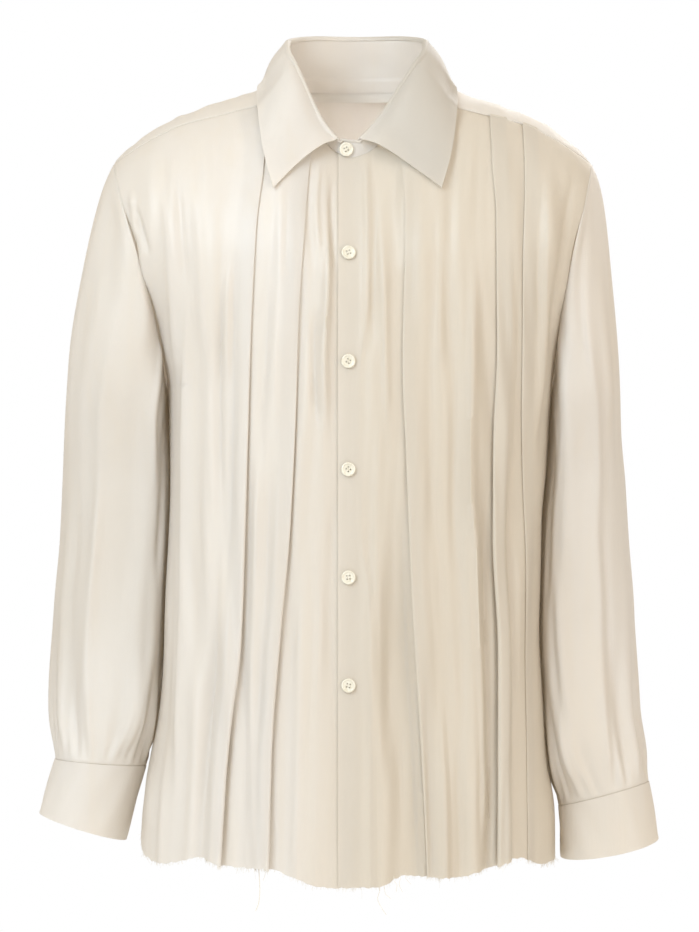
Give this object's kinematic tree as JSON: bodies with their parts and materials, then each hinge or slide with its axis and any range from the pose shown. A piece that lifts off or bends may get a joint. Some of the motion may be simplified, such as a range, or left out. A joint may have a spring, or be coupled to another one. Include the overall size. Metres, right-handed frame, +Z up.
{
  "type": "long-sleeved tuxedo shirt",
  "caption": "Long-sleeved silk tuxedo shirt, worn and hollow, with a pointed collar, a knife-pleated button front, buttoned cuffs and a raw hem.",
  "frame": {"origin": "middle of the neck opening, at the height where the yoke meets the collar on the shoulders, in the plane of the side seams", "axes": "+Z up along the wearer's neck, -Y out of the front, +X to the wearer's left"},
  "size_m": [0.588, 0.2592, 0.8028],
  "materials": {
    "silk": "ivory washed silk, soft low sheen",
    "label_cloth": "matt woven tape, bare",
    "pearl": "pearly, polished"
  },
  "bodies": {
    "root": {"front_right": "silk", "front_left": "silk", "back": "silk", "yoke": "silk", "collar_band": "silk", "collar": "silk", "sleeve_right": "silk", "sleeve_left": "silk", "cuff_right": "silk", "cuff_left": "silk", "label": "label_cloth", "button_front_1": "pearl", "button_front_2": "pearl", "button_front_3": "pearl", "button_front_4": "pearl", "button_front_5": "pearl", "button_collar": "pearl", "button_cuff_right": "pearl", "button_cuff_left": "pearl"}
  },
  "joints": []
}
